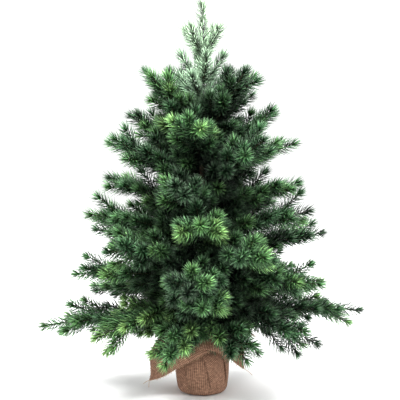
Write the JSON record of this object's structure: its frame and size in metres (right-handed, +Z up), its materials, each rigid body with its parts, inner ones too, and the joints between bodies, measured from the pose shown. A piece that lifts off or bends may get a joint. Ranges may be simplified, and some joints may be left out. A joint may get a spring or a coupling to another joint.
{
  "type": "artificial tabletop tree",
  "caption": "Small artificial conifer with wired, needle-covered branches that fold up round a taped trunk, on a weighted round base gathered in burlap.",
  "frame": {"origin": "centre of the base's underside, on the surface it stands on", "axes": "+Z up along the trunk, +X to the right and -Y towards someone facing the tree"},
  "size_m": [0.4759, 0.3922, 0.593],
  "materials": {
    "cup_plastic": "moulded, matte",
    "cement": "cast, rough",
    "steel": "drawn tube",
    "trunk_tape": "wound paper-like tape",
    "binding_wire": "lacquered wire",
    "burlap": "coarse plain weave",
    "jute": "twisted twine",
    "needles": "moulded and cut-film needles",
    "leader_needles": "moulded needles, pale"
  },
  "bodies": {
    "base": {"base_cup": "cup_plastic", "cement_weight": "cement", "trunk_pole": "steel", "trunk_tape": "trunk_tape", "tier_1_binding": "binding_wire", "tier_2_binding": "binding_wire", "tier_3_binding": "binding_wire", "tier_4_binding": "binding_wire", "tier_5_binding": "binding_wire", "tier_6_binding": "binding_wire", "tier_7_binding": "binding_wire", "tier_8_binding": "binding_wire", "tier_9_binding": "binding_wire", "burlap_wrap": "burlap", "neck_tie": "jute"},
    "branch_1_1": {"tier_1_branch_1": "needles"},
    "branch_1_2": {"tier_1_branch_2": "needles"},
    "branch_1_3": {"tier_1_branch_3": "needles"},
    "branch_1_4": {"tier_1_branch_4": "needles"},
    "branch_1_5": {"tier_1_branch_5": "needles"},
    "branch_1_6": {"tier_1_branch_6": "needles"},
    "branch_2_1": {"tier_2_branch_1": "needles"},
    "branch_2_2": {"tier_2_branch_2": "needles"},
    "branch_2_3": {"tier_2_branch_3": "needles"},
    "branch_2_4": {"tier_2_branch_4": "needles"},
    "branch_2_5": {"tier_2_branch_5": "needles"},
    "branch_2_6": {"tier_2_branch_6": "needles"},
    "branch_3_1": {"tier_3_branch_1": "needles"},
    "branch_3_2": {"tier_3_branch_2": "needles"},
    "branch_3_3": {"tier_3_branch_3": "needles"},
    "branch_3_4": {"tier_3_branch_4": "needles"},
    "branch_3_5": {"tier_3_branch_5": "needles"},
    "branch_4_1": {"tier_4_branch_1": "needles"},
    "branch_4_2": {"tier_4_branch_2": "needles"},
    "branch_4_3": {"tier_4_branch_3": "needles"},
    "branch_4_4": {"tier_4_branch_4": "needles"},
    "branch_4_5": {"tier_4_branch_5": "needles"},
    "branch_5_1": {"tier_5_branch_1": "needles"},
    "branch_5_2": {"tier_5_branch_2": "needles"},
    "branch_5_3": {"tier_5_branch_3": "needles"},
    "branch_5_4": {"tier_5_branch_4": "needles"},
    "branch_5_5": {"tier_5_branch_5": "needles"},
    "branch_6_1": {"tier_6_branch_1": "needles"},
    "branch_6_2": {"tier_6_branch_2": "needles"},
    "branch_6_3": {"tier_6_branch_3": "needles"},
    "branch_6_4": {"tier_6_branch_4": "needles"},
    "branch_7_1": {"tier_7_branch_1": "needles"},
    "branch_7_2": {"tier_7_branch_2": "needles"},
    "branch_7_3": {"tier_7_branch_3": "needles"},
    "branch_7_4": {"tier_7_branch_4": "needles"},
    "branch_8_1": {"tier_8_branch_1": "needles"},
    "branch_8_2": {"tier_8_branch_2": "needles"},
    "branch_8_3": {"tier_8_branch_3": "needles"},
    "branch_8_4": {"tier_8_branch_4": "needles"},
    "branch_9_1": {"tier_9_branch_1": "needles"},
    "branch_9_2": {"tier_9_branch_2": "needles"},
    "branch_9_3": {"tier_9_branch_3": "needles"},
    "branch_9_4": {"tier_9_branch_4": "needles"},
    "leader": {"leader": "leader_needles"}
  },
  "joints": [
    {"name": "fold_branches", "type": "hinge", "parent": "base", "child": "branch_1_1", "pos_m": [0.00959, 0.00034, 0.121], "axis": [0.0349, -0.9994, 0], "range_deg": [-6, 58]},
    {"name": "bend_1_2", "type": "hinge", "parent": "base", "child": "branch_1_2", "pos_m": [0.00451, 0.00848, 0.121], "axis": [0.8829, -0.4695, 0], "range_deg": [-6.78, 65.49]},
    {"name": "bend_1_3", "type": "hinge", "parent": "base", "child": "branch_1_3", "pos_m": [-0.0048, 0.00831, 0.121], "axis": [0.866, 0.5, 0], "range_deg": [-6.99, 67.52]},
    {"name": "bend_1_4", "type": "hinge", "parent": "base", "child": "branch_1_4", "pos_m": [-0.0096, -0.00017, 0.121], "axis": [-0.0175, 0.9998, 0], "range_deg": [-6.58, 63.52]},
    {"name": "bend_1_5", "type": "hinge", "parent": "base", "child": "branch_1_5", "pos_m": [-0.00391, -0.00877, 0.121], "axis": [-0.9135, 0.4067, 0], "range_deg": [-7.4, 71.52]},
    {"name": "bend_1_6", "type": "hinge", "parent": "base", "child": "branch_1_6", "pos_m": [0.00465, -0.0084, 0.121], "axis": [-0.8746, -0.4848, 0], "range_deg": [-7.19, 69.49]},
    {"name": "bend_2_1", "type": "hinge", "parent": "base", "child": "branch_2_1", "pos_m": [0.00831, 0.0048, 0.149], "axis": [0.5, -0.866, 0], "range_deg": [-6.43, 62.12]},
    {"name": "bend_2_2", "type": "hinge", "parent": "base", "child": "branch_2_2", "pos_m": [0, 0.0096, 0.149], "axis": [1, 0, 0], "range_deg": [-6.02, 58.12]},
    {"name": "bend_2_3", "type": "hinge", "parent": "base", "child": "branch_2_3", "pos_m": [-0.00831, 0.0048, 0.149], "axis": [0.5, 0.866, 0], "range_deg": [-6.32, 61.08]},
    {"name": "bend_2_4", "type": "hinge", "parent": "base", "child": "branch_2_4", "pos_m": [-0.00835, -0.00473, 0.149], "axis": [-0.4924, 0.8704, 0], "range_deg": [-7.88, 76.1]},
    {"name": "bend_2_5", "type": "hinge", "parent": "base", "child": "branch_2_5", "pos_m": [0, -0.0096, 0.149], "axis": [-1, 0, 0], "range_deg": [-5.81, 56.09]},
    {"name": "bend_2_6", "type": "hinge", "parent": "base", "child": "branch_2_6", "pos_m": [0.00814, -0.00509, 0.149], "axis": [-0.5299, -0.848, 0], "range_deg": [-7.88, 76.1]},
    {"name": "bend_3_1", "type": "hinge", "parent": "base", "child": "branch_3_1", "pos_m": [0.00649, 0.00708, 0.1789], "axis": [0.7371, -0.6758, 0], "range_deg": [-6.4, 61.83]},
    {"name": "bend_3_2", "type": "hinge", "parent": "base", "child": "branch_3_2", "pos_m": [-0.00469, 0.00838, 0.1789], "axis": [0.8726, 0.4884, 0], "range_deg": [-6.2, 59.86]},
    {"name": "bend_3_3", "type": "hinge", "parent": "base", "child": "branch_3_3", "pos_m": [-0.00953, -0.00118, 0.1789], "axis": [-0.123, 0.9924, 0], "range_deg": [-5.93, 57.31]},
    {"name": "bend_3_4", "type": "hinge", "parent": "base", "child": "branch_3_4", "pos_m": [-0.00097, -0.00955, 0.1789], "axis": [-0.9949, 0.1007, 0], "range_deg": [-5.89, 56.9]},
    {"name": "bend_3_5", "type": "hinge", "parent": "base", "child": "branch_3_5", "pos_m": [0.00865, -0.00416, 0.1789], "axis": [-0.4333, -0.9013, 0], "range_deg": [-6.12, 59.17]},
    {"name": "bend_4_1", "type": "hinge", "parent": "base", "child": "branch_4_1", "pos_m": [0.00951, 0.00132, 0.2107], "axis": [0.1375, -0.9905, 0], "range_deg": [-5.48, 52.9]},
    {"name": "bend_4_2", "type": "hinge", "parent": "base", "child": "branch_4_2", "pos_m": [0.00142, 0.00949, 0.2107], "axis": [0.989, -0.1478, 0], "range_deg": [-5.32, 51.34]},
    {"name": "bend_4_3", "type": "hinge", "parent": "base", "child": "branch_4_3", "pos_m": [-0.00882, 0.0038, 0.2107], "axis": [0.3958, 0.9183, 0], "range_deg": [-5.44, 52.55]},
    {"name": "bend_4_4", "type": "hinge", "parent": "base", "child": "branch_4_4", "pos_m": [-0.00698, -0.00659, 0.2107], "axis": [-0.6863, 0.7273, 0], "range_deg": [-5.72, 55.28]},
    {"name": "bend_4_5", "type": "hinge", "parent": "base", "child": "branch_4_5", "pos_m": [0.00457, -0.00844, 0.2107], "axis": [-0.8792, -0.4764, 0], "range_deg": [-5.85, 56.5]},
    {"name": "bend_5_1", "type": "hinge", "parent": "base", "child": "branch_5_1", "pos_m": [0.00583, 0.00762, 0.2444], "axis": [0.7942, -0.6077, 0], "range_deg": [-5.04, 48.67]},
    {"name": "bend_5_2", "type": "hinge", "parent": "base", "child": "branch_5_2", "pos_m": [-0.00505, 0.00817, 0.2444], "axis": [0.8506, 0.5258, 0], "range_deg": [-5.29, 51.05]},
    {"name": "bend_5_3", "type": "hinge", "parent": "base", "child": "branch_5_3", "pos_m": [-0.0094, -0.00195, 0.2444], "axis": [-0.2036, 0.9791, 0], "range_deg": [-5.51, 53.25]},
    {"name": "bend_5_4", "type": "hinge", "parent": "base", "child": "branch_5_4", "pos_m": [-0.00018, -0.0096, 0.2444], "axis": [-0.9998, 0.0187, 0], "range_deg": [-5.48, 52.96]},
    {"name": "bend_5_5", "type": "hinge", "parent": "base", "child": "branch_5_5", "pos_m": [0.00882, -0.00378, 0.2444], "axis": [-0.3938, -0.9192, 0], "range_deg": [-5.21, 50.35]},
    {"name": "bend_6_1", "type": "hinge", "parent": "base", "child": "branch_6_1", "pos_m": [0.00919, -0.00279, 0.28], "axis": [-0.2904, -0.9569, 0], "range_deg": [-5.06, 48.9]},
    {"name": "bend_6_2", "type": "hinge", "parent": "base", "child": "branch_6_2", "pos_m": [0.00215, 0.00936, 0.28], "axis": [0.9745, -0.2244, 0], "range_deg": [-5.17, 49.89]},
    {"name": "bend_6_3", "type": "hinge", "parent": "base", "child": "branch_6_3", "pos_m": [-0.00938, 0.00205, 0.28], "axis": [0.2135, 0.9769, 0], "range_deg": [-4.98, 48.09]},
    {"name": "bend_6_4", "type": "hinge", "parent": "base", "child": "branch_6_4", "pos_m": [-0.00281, -0.00918, 0.28], "axis": [-0.9563, 0.2923, 0], "range_deg": [-4.7, 45.42]},
    {"name": "bend_7_1", "type": "hinge", "parent": "base", "child": "branch_7_1", "pos_m": [0.00796, 0.00537, 0.3175], "axis": [0.5592, -0.829, 0], "range_deg": [-4.71, 45.54]},
    {"name": "bend_7_2", "type": "hinge", "parent": "base", "child": "branch_7_2", "pos_m": [-0.0047, 0.00837, 0.3175], "axis": [0.8722, 0.4891, 0], "range_deg": [-4.44, 42.93]},
    {"name": "bend_7_3", "type": "hinge", "parent": "base", "child": "branch_7_3", "pos_m": [-0.00831, -0.0048, 0.3175], "axis": [-0.5003, 0.8658, 0], "range_deg": [-4.26, 41.13]},
    {"name": "bend_7_4", "type": "hinge", "parent": "base", "child": "branch_7_4", "pos_m": [0.00535, -0.00797, 0.3175], "axis": [-0.8303, -0.5573, 0], "range_deg": [-4.37, 42.17]},
    {"name": "bend_8_1", "type": "hinge", "parent": "base", "child": "branch_8_1", "pos_m": [0.00946, -0.00165, 0.3569], "axis": [-0.1722, -0.9851, 0], "range_deg": [-3.81, 36.84]},
    {"name": "bend_8_2", "type": "hinge", "parent": "base", "child": "branch_8_2", "pos_m": [0.00079, 0.00957, 0.3569], "axis": [0.9966, -0.0822, 0], "range_deg": [-3.79, 36.55]},
    {"name": "bend_8_3", "type": "hinge", "parent": "base", "child": "branch_8_3", "pos_m": [-0.00953, 0.00113, 0.3569], "axis": [0.118, 0.993, 0], "range_deg": [-4.02, 38.81]},
    {"name": "bend_8_4", "type": "hinge", "parent": "base", "child": "branch_8_4", "pos_m": [-0.00159, -0.00947, 0.3569], "axis": [-0.9861, 0.1659, 0], "range_deg": [-4.26, 41.19]},
    {"name": "bend_9_1", "type": "hinge", "parent": "base", "child": "branch_9_1", "pos_m": [0.00728, 0.00625, 0.3982], "axis": [0.6513, -0.7588, 0], "range_deg": [-3.02, 29.18]},
    {"name": "bend_9_2", "type": "hinge", "parent": "base", "child": "branch_9_2", "pos_m": [-0.00555, 0.00784, 0.3982], "axis": [0.8162, 0.5777, 0], "range_deg": [-3.31, 31.91]},
    {"name": "bend_9_3", "type": "hinge", "parent": "base", "child": "branch_9_3", "pos_m": [-0.00751, -0.00598, 0.3982], "axis": [-0.6232, 0.7821, 0], "range_deg": [-3.42, 33.06]},
    {"name": "bend_9_4", "type": "hinge", "parent": "base", "child": "branch_9_4", "pos_m": [0.00618, -0.00735, 0.3982], "axis": [-0.7654, -0.6436, 0], "range_deg": [-3.26, 31.44]},
    {"name": "leader_bend", "type": "hinge", "parent": "base", "child": "leader", "pos_m": [0, 0, 0.4405], "axis": [0, 1, 0], "range_deg": [-20, 20]}
  ],
  "couplings": [
    {"joint": "bend_1_2", "follows": "fold_branches", "ratio": 1.129},
    {"joint": "bend_1_3", "follows": "fold_branches", "ratio": 1.164},
    {"joint": "bend_1_4", "follows": "fold_branches", "ratio": 1.095},
    {"joint": "bend_1_5", "follows": "fold_branches", "ratio": 1.233},
    {"joint": "bend_1_6", "follows": "fold_branches", "ratio": 1.198},
    {"joint": "bend_2_1", "follows": "fold_branches", "ratio": 1.071},
    {"joint": "bend_2_2", "follows": "fold_branches", "ratio": 1.002},
    {"joint": "bend_2_3", "follows": "fold_branches", "ratio": 1.053},
    {"joint": "bend_2_4", "follows": "fold_branches", "ratio": 1.312},
    {"joint": "bend_2_5", "follows": "fold_branches", "ratio": 0.967},
    {"joint": "bend_2_6", "follows": "fold_branches", "ratio": 1.312},
    {"joint": "bend_3_1", "follows": "fold_branches", "ratio": 1.066},
    {"joint": "bend_3_2", "follows": "fold_branches", "ratio": 1.032},
    {"joint": "bend_3_3", "follows": "fold_branches", "ratio": 0.988},
    {"joint": "bend_3_4", "follows": "fold_branches", "ratio": 0.981},
    {"joint": "bend_3_5", "follows": "fold_branches", "ratio": 1.02},
    {"joint": "bend_4_1", "follows": "fold_branches", "ratio": 0.912},
    {"joint": "bend_4_2", "follows": "fold_branches", "ratio": 0.885},
    {"joint": "bend_4_3", "follows": "fold_branches", "ratio": 0.906},
    {"joint": "bend_4_4", "follows": "fold_branches", "ratio": 0.953},
    {"joint": "bend_4_5", "follows": "fold_branches", "ratio": 0.974},
    {"joint": "bend_5_1", "follows": "fold_branches", "ratio": 0.839},
    {"joint": "bend_5_2", "follows": "fold_branches", "ratio": 0.88},
    {"joint": "bend_5_3", "follows": "fold_branches", "ratio": 0.918},
    {"joint": "bend_5_4", "follows": "fold_branches", "ratio": 0.913},
    {"joint": "bend_5_5", "follows": "fold_branches", "ratio": 0.868},
    {"joint": "bend_6_1", "follows": "fold_branches", "ratio": 0.843},
    {"joint": "bend_6_2", "follows": "fold_branches", "ratio": 0.86},
    {"joint": "bend_6_3", "follows": "fold_branches", "ratio": 0.829},
    {"joint": "bend_6_4", "follows": "fold_branches", "ratio": 0.783},
    {"joint": "bend_7_1", "follows": "fold_branches", "ratio": 0.785},
    {"joint": "bend_7_2", "follows": "fold_branches", "ratio": 0.74},
    {"joint": "bend_7_3", "follows": "fold_branches", "ratio": 0.709},
    {"joint": "bend_7_4", "follows": "fold_branches", "ratio": 0.727},
    {"joint": "bend_8_1", "follows": "fold_branches", "ratio": 0.635},
    {"joint": "bend_8_2", "follows": "fold_branches", "ratio": 0.63},
    {"joint": "bend_8_3", "follows": "fold_branches", "ratio": 0.669},
    {"joint": "bend_8_4", "follows": "fold_branches", "ratio": 0.71},
    {"joint": "bend_9_1", "follows": "fold_branches", "ratio": 0.503},
    {"joint": "bend_9_2", "follows": "fold_branches", "ratio": 0.55},
    {"joint": "bend_9_3", "follows": "fold_branches", "ratio": 0.57},
    {"joint": "bend_9_4", "follows": "fold_branches", "ratio": 0.542}
  ]
}
